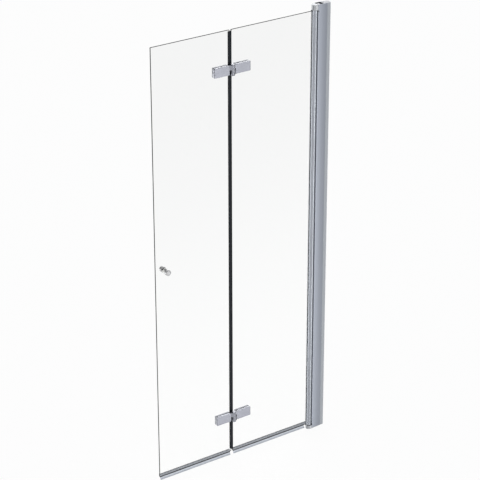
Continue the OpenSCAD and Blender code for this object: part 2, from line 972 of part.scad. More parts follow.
// A knob half as a profile about its axis: neck, then a head with rounded edges
module knob_profile() {
    head_y = knob_y + knob_neck_l;
    box2(0, knob_neck_r, knob_y, head_y);
    box2(0, knob_r - knob_round, head_y, head_y + knob_l);
    box2(0, knob_r, head_y + knob_round, head_y + knob_l - knob_round);
    for (y = [head_y + knob_round, head_y + knob_l - knob_round])
        translate([knob_r - knob_round, y])
            circle(r = knob_round);
}

module knob_half() {
    difference() {
        rotate_extrude()
            knob_profile();
        cylinder(r = stud_r, h = knob_y + stud_bite);
    }
}

module knob_front() color([0.74, 0.74, 0.75]) {
    translate([knob_x, 0, knob_z])
        rotate([90, 0, 0])
            knob_half();
}

module knob_back() color([0.74, 0.74, 0.75]) {
    translate([knob_x, 0, knob_z])
        rotate([-90, 0, 0])
            knob_half();
}

module knob_stud() color([0.70, 0.71, 0.73]) {
    rod_y(knob_x, knob_z, -knob_y - stud_bite, knob_y + stud_bite, stud_r);
}

module knob_sleeve() color([0.86, 0.86, 0.85]) {
    difference() {
        rod_y(knob_x, knob_z, -half_t, half_t, glass_hole_r - collar_gap);
        rod_y(knob_x, knob_z, -half_t - eps, half_t + eps, stud_r);
    }
}

module knob_washers() color([0.80, 0.80, 0.79]) {
    for (y = [-knob_y, half_t])
        difference() {
            rod_y(knob_x, knob_z, y, y + knob_washer_t, knob_washer_r);
            rod_y(knob_x, knob_z, y - eps, y + knob_washer_t + eps, stud_r);
        }
}

wall_channel();
adjust_profile();
adjust_screws();
channel_top_cap();
top_pivot_block();
bottom_pivot_block();
block_screws();
top_pivot_bush();
bottom_pivot_bush();
pivot_profile();
top_pivot_pin();
bottom_pivot_pin();
pin_lock_screws();
front_glazing_gasket();
back_glazing_gasket();
inner_glass();
inner_drip_seal();
upper_inner_hinge_leaf();
upper_inner_back_plate();
upper_inner_hinge_pads();
upper_inner_hinge_screws();
lower_inner_hinge_leaf();
lower_inner_back_plate();
lower_inner_hinge_pads();
lower_inner_hinge_screws();
upper_hinge_pin();
upper_hinge_washer();
lower_hinge_pin();
lower_hinge_washer();
outer_glass();
seam_seal();
outer_drip_seal();
upper_outer_hinge_leaf();
upper_outer_back_plate();
upper_outer_hinge_pads();
upper_outer_hinge_screws();
lower_outer_hinge_leaf();
lower_outer_back_plate();
lower_outer_hinge_pads();
lower_outer_hinge_screws();
knob_front();
knob_back();
knob_stud();
knob_sleeve();
knob_washers();
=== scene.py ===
"""The looks of a frameless bifold shower door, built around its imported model.

A telescoping wall profile with a round pivot carries the inner pane, and the outer pane folds
on two knuckle hinges. Every size is in metres, in the model's own frame: the wall face is the
plane X = 0, the door runs towards -X, its front faces -Y, and Z is up.
"""

import logging
import math
from dataclasses import dataclass, replace
from enum import Enum

import bmesh
import bpy
from mathutils import Matrix, Vector


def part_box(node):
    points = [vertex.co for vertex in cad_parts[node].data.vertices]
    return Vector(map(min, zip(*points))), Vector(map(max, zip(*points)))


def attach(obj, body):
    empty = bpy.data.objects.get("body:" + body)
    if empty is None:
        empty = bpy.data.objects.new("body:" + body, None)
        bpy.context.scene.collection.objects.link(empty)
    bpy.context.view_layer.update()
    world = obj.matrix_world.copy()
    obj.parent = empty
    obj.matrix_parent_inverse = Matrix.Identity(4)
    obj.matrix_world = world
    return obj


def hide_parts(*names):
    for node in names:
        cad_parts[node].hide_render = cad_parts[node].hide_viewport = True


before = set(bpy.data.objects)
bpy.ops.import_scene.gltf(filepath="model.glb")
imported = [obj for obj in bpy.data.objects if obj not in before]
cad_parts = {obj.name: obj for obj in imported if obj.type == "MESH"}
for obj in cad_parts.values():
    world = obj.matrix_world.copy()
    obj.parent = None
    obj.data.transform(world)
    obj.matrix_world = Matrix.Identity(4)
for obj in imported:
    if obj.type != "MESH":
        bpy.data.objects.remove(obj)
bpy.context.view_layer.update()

MM = 0.001
SKIN = 0.01 * MM
MERGE_WITHIN = 1e-6
CUT_WITHIN = 1e-7
GLASS_HALF = 3 * MM
QUARTER_TURN = math.radians(90)
log = logging.getLogger("bifold_door")

Pair = tuple[float, float]
Triple = tuple[float, float, float]
Verts = list[bmesh.types.BMVert]


class Body(Enum):
    """The moving bodies of the door."""

    WALL_FRAME = "wall_frame"
    INNER_LEAF = "inner_leaf"
    OUTER_LEAF = "outer_leaf"


class Slot(Enum):
    """The record's material slots of the pieces that are drawn here."""

    CAP = "grey_cap"
    BLOCK = "cast_block"
    BLACK_SEAL = "black_seal"
    GLASS = "clear_glass"
    GREY_SEAL = "grey_seal"
    CHROME = "satin_chrome"
    KNOB = "satin_knob"


class Axis(Enum):
    """A direction of the door, as a unit vector."""

    X = (1.0, 0.0, 0.0)
    Y = (0.0, 1.0, 0.0)
    Z = (0.0, 0.0, 1.0)

    def streaks(self, length: float, pitch: float) -> Triple:
        """How often a pattern of streaks along this axis repeats per metre.

        Args:
            length: How long a streak is.
            pitch: How far apart the streaks are.

        Returns:
            Its repeats along X, Y and Z.
        """
        return tuple(1 / (length if share else pitch) for share in self.value)


# ---------- shader graphs ----------


class Wire:
    """A shader socket that takes part in Python arithmetic."""

    def __init__(self, graph: "Graph", socket: bpy.types.NodeSocket) -> None:
        """Wraps a socket of a graph."""
        self.graph = graph
        self.socket = socket

    def __add__(self, other: "Wire | float") -> "Wire":
        """Adds."""
        return self.graph.maths("ADD", self, other)

    def __sub__(self, other: "Wire | float") -> "Wire":
        """Takes away."""
        return self.graph.maths("SUBTRACT", self, other)

    def __rsub__(self, other: float) -> "Wire":
        """Takes this wire away from a number."""
        return self.graph.maths("SUBTRACT", other, self)

    def __mul__(self, other: "Wire | float") -> "Wire":
        """Multiplies."""
        return self.graph.maths("MULTIPLY", self, other)

    def __truediv__(self, other: "Wire | float") -> "Wire":
        """Divides."""
        return self.graph.maths("DIVIDE", self, other)

    def __pow__(self, other: "Wire | float") -> "Wire":
        """Raises to a power."""
        return self.graph.maths("POWER", self, other)

    __radd__ = __add__
    __rmul__ = __mul__

    def over(self, low: float, high: float) -> "Wire":
        """How far the value has come from low to high, held between 0 and 1.

        Args:
            low: The value that gives 0.
            high: The value that gives 1.

        Returns:
            The share, as a wire.
        """
        node = self.graph.node(
            "ShaderNodeMapRange", {"clamp": True, "interpolation_type": "SMOOTHSTEP"},
            {"Value": self, "From Min": low, "From Max": high})
        return Wire(self.graph, node.outputs["Result"])


class Graph:
    """A node tree under construction."""

    MIX_COLOURS = (6, 7)
    MIX_RESULT = 2

    def __init__(self, tree: bpy.types.NodeTree) -> None:
        """Starts from an empty tree."""
        self.tree = tree
        tree.nodes.clear()

    def node(self, kind: str, settings: dict | None = None,
             inputs: dict | None = None) -> bpy.types.Node:
        """Adds a node, sets it up, then fills its inputs.

        Args:
            kind: The node's type.
            settings: Its own properties, set first.
            inputs: Values or wires by the name or number of the socket.

        Returns:
            The node.
        """
        made = self.tree.nodes.new(kind)
        for name, value in (settings or {}).items():
            setattr(made, name, value)
        for name, value in (inputs or {}).items():
            socket = made.inputs[name]
            if isinstance(value, Wire):
                self.tree.links.new(value.socket, socket)
            elif isinstance(value, bpy.types.NodeSocket):
                self.tree.links.new(value, socket)
            else:
                socket.default_value = value
        return made

    def maths(self, operation: str, left: Wire | float, right: Wire | float) -> Wire:
        """Adds one Math node.

        Args:
            operation: The node's operation.
            left: Its first value.
            right: Its second value.

        Returns:
            The result, as a wire.
        """
        node = self.node("ShaderNodeMath", {"operation": operation}, {0: left, 1: right})
        return Wire(self, node.outputs[0])

    def place(self, repeats: Triple = (1.0, 1.0, 1.0), centre: Triple = (0.0, 0.0, 0.0)) -> Wire:
        """Object coordinates about a centre, stretched along each axis.

        Args:
            repeats: How many times a pattern repeats per metre along X, Y and Z.
            centre: The point that the pattern is centred on.

        Returns:
            The coordinates, as a wire.
        """
        coordinates = self.node("ShaderNodeTexCoord").outputs["Object"]
        moved = [-c * r for c, r in zip(centre, repeats)]
        mapping = self.node("ShaderNodeMapping", {},
                            {"Vector": coordinates, "Location": moved, "Scale": repeats})
        return Wire(self, mapping.outputs["Vector"])

    def split(self, vector: Wire) -> tuple[Wire, Wire, Wire]:
        """The three coordinates of a vector."""
        node = self.node("ShaderNodeSeparateXYZ", {}, {0: vector})
        return tuple(Wire(self, node.outputs[i]) for i in range(3))

    def height(self) -> Wire:
        """The height above the floor, in metres."""
        return self.split(self.place())[2]

    def join(self, x: Wire | float, y: Wire | float, z: Wire | float) -> Wire:
        """One vector from three coordinates."""
        return Wire(self, self.node("ShaderNodeCombineXYZ", {}, {0: x, 1: y, 2: z}).outputs[0])

    def noise(self, at: Wire, octaves: float = 2.0, roughness: float = 0.5) -> Wire:
        """A noise around its middle value of 0.5.

        Args:
            at: Where it is read.
            octaves: How many octaves it has.
            roughness: How strong the fine octaves are.

        Returns:
            The noise, as a wire.
        """
        node = self.node("ShaderNodeTexNoise", {"noise_dimensions": "3D"},
                         {"Vector": at, "Scale": 1.0, "Detail": octaves, "Roughness": roughness})
        return Wire(self, node.outputs[0])

    def pattern(self, repeats: Triple, octaves: float = 2.0, roughness: float = 0.5) -> Wire:
        """A noise that repeats so many times per metre along X, Y and Z."""
        return self.noise(self.place(repeats), octaves, roughness)

    def blend(self, share: Wire | float, low: Triple | Wire, high: Triple | Wire) -> Wire:
        """A colour between two others.

        Args:
            share: 0 gives the first colour and 1 the second.
            low: The first colour.
            high: The second colour.

        Returns:
            The colour, as a wire.
        """
        colours = [c if isinstance(c, Wire) else (*c, 1.0) for c in (low, high)]
        inputs = {0: share, **dict(zip(self.MIX_COLOURS, colours))}
        node = self.node("ShaderNodeMix", {"data_type": "RGBA"}, inputs)
        return Wire(self, node.outputs[self.MIX_RESULT])

    def relief(self, height: Wire, depth: float) -> Wire:
        """Normals of a surface with a fine relief.

        Args:
            height: The relief, from 0 to 1.
            depth: How deep it is, in metres.

        Returns:
            The normals, as a wire.
        """
        node = self.node("ShaderNodeBump", {},
                         {"Height": height, "Distance": depth, "Strength": 1.0})
        return Wire(self, node.outputs["Normal"])

    def surface(self, inputs: dict) -> None:
        """Ends a material's tree with one Principled shader that has these inputs."""
        shader = self.node("ShaderNodeBsdfPrincipled", {}, inputs)
        self.node("ShaderNodeOutputMaterial", {}, {"Surface": shader.outputs[0]})


# ---------- finishes ----------

NOISE_MIDDLE = 0.5


def weighed(shares: tuple[float, ...], patterns: tuple[Wire, ...]) -> Wire:
    """The sum of some patterns, each times its share.

    Args:
        shares: One share for each pattern.
        patterns: The patterns.

    Returns:
        The sum, as a wire.
    """
    parts = [share * pattern for share, pattern in zip(shares, patterns)]
    return sum(parts[1:], parts[0])


@dataclass(frozen=True)
class Finish:
    """A finish with its own colour and gloss. Each kind draws its own surface.

    The names in capitals are a kind's own figures: the repeats of its patterns, their MIX in the
    tone, the SPAN of the tone over which the colour goes from the first to the second of its
    SHADES, how far its patterns move the GLOSS, and the DEPTH of its relief.
    """

    name: str
    colour: Triple
    roughness: float
    shine: float = 0.5

    CLOUDS = (60, 60, 60)
    GRAIN = (1400, 1400, 1400)
    MIX = (1.0,)
    SPAN = (0.25, 0.75)
    SHADES = (0.93, 1.05)
    GLOSS = (0.12,)
    DEPTH = 0.03 * MM

    def material(self) -> bpy.types.Material:
        """The material, made once by name.

        Returns:
            The material.
        """
        found = bpy.data.materials.get(self.name)
        if found:
            return found
        made = bpy.data.materials.new(self.name)
        made.use_nodes = True
        self.draw(Graph(made.node_tree))
        return made

    def draw(self, graph: Graph) -> None:
        """Draws the surface: a fine moulded grain.

        Args:
            graph: The material's tree.
        """
        cloud = graph.pattern(self.CLOUDS, octaves=3.0)
        grain = graph.pattern(self.GRAIN)
        self.cover(graph, (cloud,), (grain,), grain, {"Specular IOR Level": self.shine})

    def cover(self, graph: Graph, tone: tuple[Wire, ...], gloss: tuple[Wire, ...], relief: Wire,
              more: dict) -> None:
        """Ends the tree with a surface that follows some patterns.

        Args:
            graph: The material's tree.
            tone: The patterns of its tone.
            gloss: The patterns that move its roughness.
            relief: The pattern of its relief.
            more: The shader's further inputs.
        """
        roughness = self.roughness
        for share, pattern in zip(self.GLOSS, gloss):
            roughness = roughness + share * (pattern - NOISE_MIDDLE)
        graph.surface({
            "Base Color": self.tint(graph, tone),
            "Roughness": roughness,
            "Normal": graph.relief(relief, self.DEPTH),
            **more,
        })

    def tint(self, graph: Graph, tone: tuple[Wire, ...]) -> Wire:
        """The colour, which the patterns of the tone lead from one shade to the other.

        Args:
            graph: The material's tree.
            tone: The patterns of its tone.

        Returns:
            The colour, as a wire.
        """
        darker, lighter = self.SHADES
        share = weighed(self.MIX, tone).over(*self.SPAN)
        return graph.blend(share, self.shade(darker), self.shade(lighter))

    def shade(self, share: float) -> Triple:
        """The finish's colour, lighter or darker."""
        return tuple(c * share for c in self.colour)


@dataclass(frozen=True)
class DrawnMetal(Finish):
    """Anodised aluminium with the fine lines of its drawing along the profile."""

    along: Axis = Axis.Z
    line_pitch: float = 0.9 * MM
    line_length: float = 400 * MM
    bareness: float = 0.5

    CLOUDS = (9, 9, 3)
    BAND_SHARE = 0.12
    MIX = (0.45, 0.3, 0.25)
    SPAN = (0.3, 0.7)
    SHADES = (0.93, 1.06)
    GLOSS = (0.16, 0.08)
    DEPTH = 0.006 * MM

    def draw(self, graph: Graph) -> None:
        """Draws long fine lines, soft bands and a cloudy anodised tone.

        Args:
            graph: The material's tree.
        """
        fine = self.along.streaks(self.line_length, self.line_pitch)
        lines = graph.pattern(fine, octaves=3.0, roughness=0.6)
        bands = graph.pattern(tuple(f * self.BAND_SHARE for f in fine))
        cloud = graph.pattern(self.CLOUDS, octaves=3.0)
        self.cover(graph, (lines, bands, cloud), (lines, cloud), lines, {"Metallic": self.bareness})


@dataclass(frozen=True)
class SatinMetal(Finish):
    """Satin plating on a casting: short brushed strokes over a soft waviness."""

    along: Axis = Axis.X
    stroke: float = 9 * MM
    pitch: float = 0.35 * MM
    bareness: float = 0.6

    WAVES = (70, 70, 70)
    WEAR = (25, 25, 25)
    MIX = (0.6, 0.4)
    SPAN = (0.3, 0.7)
    SHADES = (0.94, 1.05)
    GLOSS = (0.1, 0.12)
    RELIEF_MIX = (0.35, 0.65)
    DEPTH = 0.012 * MM

    def draw(self, graph: Graph) -> None:
        """Draws brushed strokes, faint waves and a little wear in the gloss.

        Args:
            graph: The material's tree.
        """
        strokes = graph.pattern(self.along.streaks(self.stroke, self.pitch), roughness=0.55)
        waves = graph.pattern(self.WAVES)
        wear = graph.pattern(self.WEAR, octaves=4.0)
        relief = weighed(self.RELIEF_MIX, (strokes, waves))
        self.cover(graph, (strokes, waves), (strokes, wear), relief, {"Metallic": self.bareness})


@dataclass(frozen=True)
class TurnedMetal(Finish):
    """A metal turned on a lathe, with rings about its own axis."""

    centre: Triple = (0.0, 0.0, 0.0)
    ring_pitch: float = 0.3 * MM
    bareness: float = 0.5

    CLOUDS = (90, 90, 90)
    MIX = (0.6, 0.4)
    SPAN = (0.3, 0.7)
    SHADES = (0.92, 1.06)
    GLOSS = (0.12, 0.08)
    DEPTH = 0.008 * MM

    def draw(self, graph: Graph) -> None:
        """Draws rings that run round the axis, on the faces and on the rim.

        Args:
            graph: The material's tree.
        """
        x, y, z = graph.split(graph.place(centre=self.centre))
        radius = (x * x + z * z) ** 0.5
        rings = graph.noise(graph.join(radius / self.ring_pitch, y / self.ring_pitch, 0.0))
        cloud = graph.pattern(self.CLOUDS, octaves=3.0)
        self.cover(graph, (rings, cloud), (rings, cloud), rings, {"Metallic": self.bareness})


@dataclass(frozen=True)
class PaneGlass(Finish):
    """Clear float glass, with a painted reflection: its faint tone deepens from its foot to its crown."""

    # Painted reflection: how far the pane's colour greys at its crown.
    crown_reflection_share: float = 0.93
    foot_height: float = 0.3
    crown_height: float = 2.0
    refraction: float = 1.45

    WIPES = (5, 5, 1.6)
    WIPE_SPAN = (0.45, 0.8)

    def draw(self, graph: Graph) -> None:
        """Draws the tone by height, a painted reflection that greys the pane towards its top, and a very
        faint wipe pattern in the gloss.

        Args:
            graph: The material's tree.
        """
        wipe = graph.pattern(self.WIPES, octaves=4.0)
        # Painted reflection: the colour greys with height, from the foot to the crown.
        rise = graph.height().over(self.foot_height, self.crown_height)
        graph.surface({
            "Base Color": graph.blend(rise, self.colour, self.shade(self.crown_reflection_share)),
            "Roughness": self.roughness * wipe.over(*self.WIPE_SPAN),
            "Transmission Weight": 1.0,
            "IOR": self.refraction,
        })


@dataclass(frozen=True)
class SoftSeal(Finish):
    """A soft extruded seal with faint lines along its run."""

    along: Axis = Axis.X
    line_pitch: float = 0.8 * MM
    line_length: float = 300 * MM

    CLOUDS = (40, 40, 12)
    MIX = (0.5, 0.5)
    SPAN = (0.3, 0.7)
    SHADES = (0.88, 1.1)
    GLOSS = (0.15,)
    DEPTH = 0.02 * MM

    def draw(self, graph: Graph) -> None:
        """Draws the seal's lines and its slightly uneven gloss.

        Args:
            graph: The material's tree.
        """
        lines = graph.pattern(self.along.streaks(self.line_length, self.line_pitch))
        cloud = graph.pattern(self.CLOUDS, octaves=3.0)
        self.cover(graph, (lines, cloud), (cloud,), lines, {"Specular IOR Level": self.shine})


@dataclass(frozen=True)
class DripVinyl(SoftSeal):
    """The frosted vinyl of a drip seal: a light fin, and a clip in painted shade, darker where the glass
    sits and near black at the glass's foot.
    """

    # Painted shade: the clip's share of the colour, and the near-black share at the glass's foot.
    clip_shade_share: float = 0.38
    foot_shade_share: float = 0.005
    foot_low: float = 22 * MM
    foot_high: float = 28.4 * MM
    blur: float = 0.4 * MM

    LINE_STRENGTH = 0.06
    LINE_SHADE = 0.5

    def tint(self, graph: Graph, tone: tuple[Wire, ...]) -> Wire:
        """The colour of the three bands by their height, with faint lines along the run. The clip band and
        the foot band are painted shade.

        Args:
            graph: The material's tree.
            tone: The patterns of its tone.

        Returns:
            The colour, as a wire.
        """
        height = graph.height()
        over_fin, in_clip = (height.over(edge - self.blur, edge + self.blur)
                             for edge in (self.foot_low, self.foot_high))
        # Painted shade: the glass's foot as a near-black band, and the clip above it darker than the fin.
        upper = graph.blend(in_clip, self.shade(self.foot_shade_share), self.shade(self.clip_shade_share))
        bands = graph.blend(over_fin, self.colour, upper)
        lines, cloud = tone
        return graph.blend(self.LINE_STRENGTH * (lines + cloud), bands, self.shade(self.LINE_SHADE))


ANODISED = DrawnMetal("satin anodised profile", (0.183, 0.197, 0.227), 0.42)
CHANNEL = DrawnMetal("anodised wall channel", (0.186, 0.198, 0.213), 0.45)
PIVOT = DrawnMetal("anodised pivot profile", (0.236, 0.25, 0.275), 0.29)
CHROME = SatinMetal("satin chrome hinge", (0.178, 0.183, 0.207), 0.39)
CASTING = SatinMetal("satin cast block", (0.256, 0.264, 0.276), 0.42, along=Axis.Z, stroke=4 * MM,
                     pitch=0.4 * MM)
STAINLESS = SatinMetal("turned stainless screw", (0.3, 0.305, 0.32), 0.3, along=Axis.Y,
                       stroke=2 * MM, pitch=0.2 * MM)
NYLON = Finish("natural nylon", (0.78, 0.78, 0.75), 0.5)
GREY_CAP = Finish("grey moulded cap", (0.42, 0.43, 0.45), 0.5)
CLEAR_PAD = Finish("pale hinge pad", (0.6, 0.61, 0.62), 0.5)
BLACK_STEEL = Finish("black oxide screw", (0.03, 0.03, 0.035), 0.4)
GLASS = PaneGlass("clear pane glass", (0.994, 0.997, 0.994), 0.02)
# Painted shade: the pane's edge faces are near black, standing in for the dark look that light through the
# edge gives.
GLASS_EDGE = Finish("glass edge in painted shade", (0.004, 0.007, 0.006), 0.3, 0.0)
DARK_SEAL = SoftSeal("dark seam seal", (0.006, 0.008, 0.011), 0.6, 0.12, Axis.Z)
GASKET = SoftSeal("dark glazing gasket", (0.01, 0.011, 0.013), 0.6, 0.15, Axis.Z)
WEDGE = SoftSeal("grey glazing wedge", (0.34, 0.35, 0.37), 0.6, 0.3, Axis.Z)
CLEAR_SEAL = DripVinyl("frosted drip seal", (0.64, 0.67, 0.72), 0.5, 0.12)
TURNED_KNOB = TurnedMetal("turned knob", (0.26, 0.26, 0.264), 0.42)

NODE_FINISHES: dict[str, Finish] = {
    "wall_channel": CHANNEL, "adjust_profile": ANODISED, "pivot_profile": PIVOT,
    "adjust_screws": STAINLESS, "block_screws": STAINLESS, "pin_lock_screws": BLACK_STEEL,
    "top_pivot_bush": NYLON, "bottom_pivot_bush": NYLON,
    "top_pivot_pin": STAINLESS, "bottom_pivot_pin": STAINLESS,
    "knob_sleeve": NYLON, "knob_washers": NYLON, "knob_stud": STAINLESS,
}
HINGE_NODE_FINISHES: dict[str, Finish] = {
    "hinge_pads": CLEAR_PAD, "hinge_screws": STAINLESS,
    "hinge_pin": STAINLESS, "hinge_washer": NYLON,
}


# ---------- shapes ----------


class Outline:
    """A closed outline in the XY plane, drawn with straight strokes and arcs."""

    ARC_STEP = math.radians(5)
    LEAST_STEPS = 2
    CORNER_STEPS = 4

    def __init__(self, bm: bmesh.types.BMesh, x: float, y: float, radius: float = 0.0) -> None:
        """Starts at a point.

        Args:
            bm: The mesh to draw in.
            x: The point's first coordinate.
            y: The point's second coordinate.
            radius: How far the corner at the point is rounded off when the outline closes.
        """
        self.bm = bm
        self.first = self.last = bm.verts.new((x, y, 0))
        self.corners = [(self.first, radius)] if radius else []

    def to(self, x: float, y: float, radius: float = 0.0) -> "Outline":
        """Draws a straight stroke.

        Args:
            x: The end's first coordinate.
            y: The end's second coordinate.
            radius: How far the corner at the end is rounded off when the outline closes.

        Returns:
            The outline.
        """
        made = bmesh.ops.extrude_vert_indiv(self.bm, verts=[self.last])
        self.last = made["verts"][0]
        self.last.co = (x, y, 0)
        if radius:
            self.corners.append((self.last, radius))
        return self

    def arc(self, x: float, y: float, turn: float) -> "Outline":
        """Draws an arc from the last point.

        Args:
            x: The centre's first coordinate.
            y: The centre's second coordinate.
            turn: The angle to run through in radians, counter-clockwise where positive.

        Returns:
            The outline.
        """
        steps = max(self.LEAST_STEPS, math.ceil(abs(turn) / self.ARC_STEP))
        made = bmesh.ops.spin(self.bm, geom=[self.last], cent=(x, y, 0), axis=Axis.Z.value,
                              angle=turn, steps=steps)
        self.last = made["geom_last"][0]
        return self

    def close(self) -> None:
        """Joins the end to the start and rounds the corners off."""
        self.bm.edges.new((self.last, self.first))
        self.round_off()

    def round_off(self) -> None:
        """Rounds off the corners that ask for it."""
        for corner, radius in self.corners:
            bmesh.ops.bevel(self.bm, geom=[corner], offset=radius, offset_type="OFFSET",
                            segments=self.CORNER_STEPS, profile=0.5, affect="VERTICES", material=-1)


class Piece:
    """A piece in the making: one mesh of closed solids."""

    RING_STEPS = 32
    ROD_STEPS = 64
    SHARP = math.radians(50)

    def __init__(self, name: str) -> None:
        """Starts an empty piece under its name."""
        self.name = name
        self.bm = bmesh.new()

    def outline(self, x: float, y: float, radius: float = 0.0) -> Outline:
        """Starts an outline in the piece, at a point whose corner may be rounded."""
        return Outline(self.bm, x, y, radius)

    def oblong(self, low: Pair, high: Pair, radius: float = 0.0) -> None:
        """Draws a rectangle as an outline.

        Args:
            low: Its lower left corner.
            high: Its upper right corner.
            radius: How far its corners are rounded off.
        """
        (left, foot), (right, top) = low, high
        outline = self.outline(left, foot, radius).to(right, foot, radius)
        outline.to(right, top, radius).to(left, top, radius).close()

    def ring(self, x: float, y: float, radius: float) -> None:
        """Draws a full circle, as an outline or as a hole in one.

        Args:
            x: The centre's first coordinate.
            y: The centre's second coordinate.
            radius: The circle's radius.
        """
        bmesh.ops.create_circle(self.bm, cap_ends=False, segments=self.RING_STEPS, radius=radius,
                                matrix=Matrix.Translation((x, y, 0)))

    def raised(self, low: float, high: float) -> Verts:
        """Fills the outlines drawn so far and raises them into a solid along Z.

        Args:
            low: The solid's lowest Z.
            high: The solid's highest Z.

        Returns:
            The solid's vertices.
        """
        loose = [e for e in self.bm.edges if not e.link_faces]
        filled = bmesh.ops.triangle_fill(self.bm, use_beauty=True, use_dissolve=False, edges=loose,
                                         normal=Axis.Z.value)
        faces = [g for g in filled["geom"] if isinstance(g, bmesh.types.BMFace)]
        foot = list({v for f in faces for v in f.verts})
        made = bmesh.ops.extrude_face_region(self.bm, geom=faces)
        top = [g for g in made["geom"] if isinstance(g, bmesh.types.BMVert)]
        bmesh.ops.translate(self.bm, verts=foot, vec=(0, 0, low))
        bmesh.ops.translate(self.bm, verts=top, vec=(0, 0, high))
        return foot + top

    def rod(self, centre: Triple, radius: float, length: float) -> Verts:
        """Adds an upright cylinder.

        Args:
            centre: Its middle.
            radius: Its radius.
            length: Its length.

        Returns:
            Its vertices.
        """
        made = bmesh.ops.create_cone(self.bm, cap_ends=True, segments=self.ROD_STEPS, radius1=radius,
                                     radius2=radius, depth=length, matrix=Matrix.Translation(centre))
        return made["verts"]

    def soften(self, verts: Verts, width: float, segments: int = 3) -> None:
        """Bevels the sharp edges among some vertices.

        Args:
            verts: The vertices.
            width: The bevel's width.
            segments: Its number of steps.
        """
        chosen = set(verts)
        edges = [e for e in self.bm.edges
                 if e.verts[0] in chosen and e.verts[1] in chosen and len(e.link_faces) == 2
                 and e.calc_face_angle() > self.SHARP]
        bmesh.ops.bevel(self.bm, geom=edges, offset=width, offset_type="OFFSET", segments=segments,
                        profile=0.5, affect="EDGES", clamp_overlap=True, material=-1)

    def move(self, verts: Verts, matrix: Matrix) -> None:
        """Moves vertices by a matrix."""
        bmesh.ops.transform(self.bm, verts=verts, matrix=matrix)

    def done(self, body: Body, finishes: list[Finish], nodes: list[str],
             smooth: float = 40.0) -> bpy.types.Object:
        """Makes the object, rides it on its body and lets it stand for its nodes.

        Args:
            body: The body it moves with.
            finishes: Its finishes, by the index of its faces' material.
            nodes: The CAD nodes it stands for.
            smooth: The angle below which edges shade smooth, in degrees.

        Returns:
            The object.
        """
        bmesh.ops.recalc_face_normals(self.bm, faces=self.bm.faces[:])
        mesh = bpy.data.meshes.new(self.name)
        self.bm.to_mesh(mesh)
        self.bm.free()
        mesh.shade_smooth()
        mesh.set_sharp_from_angle(angle=math.radians(smooth))
        for finish in finishes:
            mesh.materials.append(finish.material())
        made = bpy.data.objects.new(self.name, mesh)
        bpy.context.collection.objects.link(made)
        flatter = made.modifiers.new("flat faces", "WEIGHTED_NORMAL")
        flatter.keep_sharp = True
        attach(made, body.value)
        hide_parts(*nodes)
        log.info("%s on %s, %d faces", self.name, body.value, len(mesh.polygons))
        return made


STAND_UP = Matrix.Rotation(QUARTER_TURN, 4, "X")
"""Turns a drawing in X and Y into one in X and Z, raised towards the front."""

RUN_ALONG = Matrix(((0, 0, 1, 0), (1, 0, 0, 0), (0, 1, 0, 0), (0, 0, 0, 1)))
"""Turns a drawing in X and Y into a section in Y and Z that runs along X."""

FLIP_X, FLIP_Y = (Matrix.Scale(-1, 4, axis.value) for axis in (Axis.X, Axis.Y))
"""Mirror a shape in the plane X = 0 and in the plane Y = 0."""


@dataclass
class NodeBox:
    """The room of a CAD node at rest."""

    node: str

    def __post_init__(self) -> None:
        """Reads the box from the frame."""
        self.low, self.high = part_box(self.node)
        self.centre = (self.low + self.high) / 2
        self.size = self.high - self.low


# ---------- the wall frame ----------


